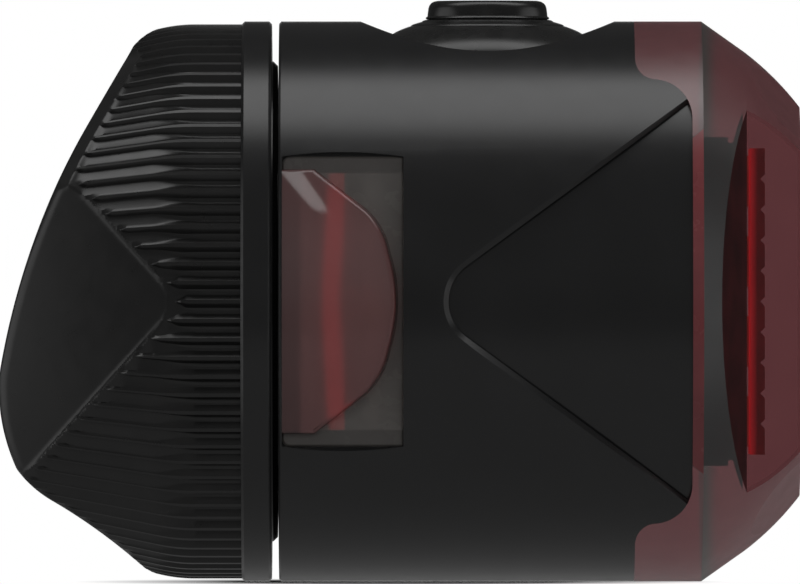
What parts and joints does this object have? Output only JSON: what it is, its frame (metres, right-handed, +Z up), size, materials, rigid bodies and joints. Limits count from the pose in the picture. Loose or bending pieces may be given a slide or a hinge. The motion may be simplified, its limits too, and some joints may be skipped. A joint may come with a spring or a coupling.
{
  "type": "bike light",
  "caption": "Round rechargeable rear light: red faceted lens, side windows, top push button and a fluted rubber base that seats on a leaning post and twists off the lamp.",
  "frame": {"origin": "on the saddle's face, where the lamp's optical axis meets the seat post", "axes": "+X along the optical axis towards the front lens, +Z up through the push button"},
  "size_m": [0.0438, 0.0308, 0.0319],
  "materials": {
    "rubber_grip": "moulded black rubber",
    "black_plastic": "satin black polycarbonate",
    "black_inner": "moulded black",
    "button_rubber": "smooth black silicone",
    "seal_rubber": "plain rubber",
    "red_lens": "smoked red polycarbonate",
    "smoke_window": "smoked red polycarbonate",
    "red_optic": "clear red acrylic",
    "led_resin": "yellowish resin over white housing",
    "board_green": "glass-fibre circuit board",
    "chip_black": "moulded epoxy",
    "socket_steel": "folded plated steel",
    "steel": "zinc plated",
    "battery_foil": "foil pouch",
    "foam": "self-adhesive foam",
    "lead_red": "insulated wire"
  },
  "bodies": {
    "base": {"saddle_pad": "rubber_grip", "base_plate": "black_plastic", "spigot_seal": "seal_rubber"},
    "lamp": {"housing": "black_plastic", "front_lens": "red_lens", "lens_seal": "seal_rubber", "led_carrier": "black_inner", "carrier_screws": "steel", "led_board": "board_green", "leds": "led_resin", "light_optic": "red_optic", "side_window_near": "smoke_window", "side_window_far": "smoke_window", "side_light_bar_near": "red_optic", "side_light_bar_far": "red_optic", "side_leds": "led_resin", "rear_cover": "black_inner", "cover_gasket": "seal_rubber", "cover_screws": "steel", "main_board": "board_green", "usb_socket": "socket_steel", "board_chips": "chip_black", "battery_pad": "foam", "battery_cell": "battery_foil", "battery_leads": "lead_red", "lamp_leads": "lead_red", "switch_board": "board_green", "switch_screws": "steel", "switch_body": "chip_black", "button_skirt": "button_rubber", "button_retainer": "black_inner"},
    "button": {"button_cap": "button_rubber", "switch_plunger": "black_inner"}
  },
  "joints": [
    {"name": "lamp_twist", "type": "hinge", "parent": "base", "child": "lamp", "pos_m": [0.0107, 0, 0], "axis": [1, 0, 0], "range_deg": [0, 60]},
    {"name": "button_press", "type": "slide", "parent": "lamp", "child": "button", "axis": [0, 0, -1], "range_m": [0, 0.0005], "stiffness_N_per_m": 4000, "deforming": ["button_skirt"]}
  ]
}
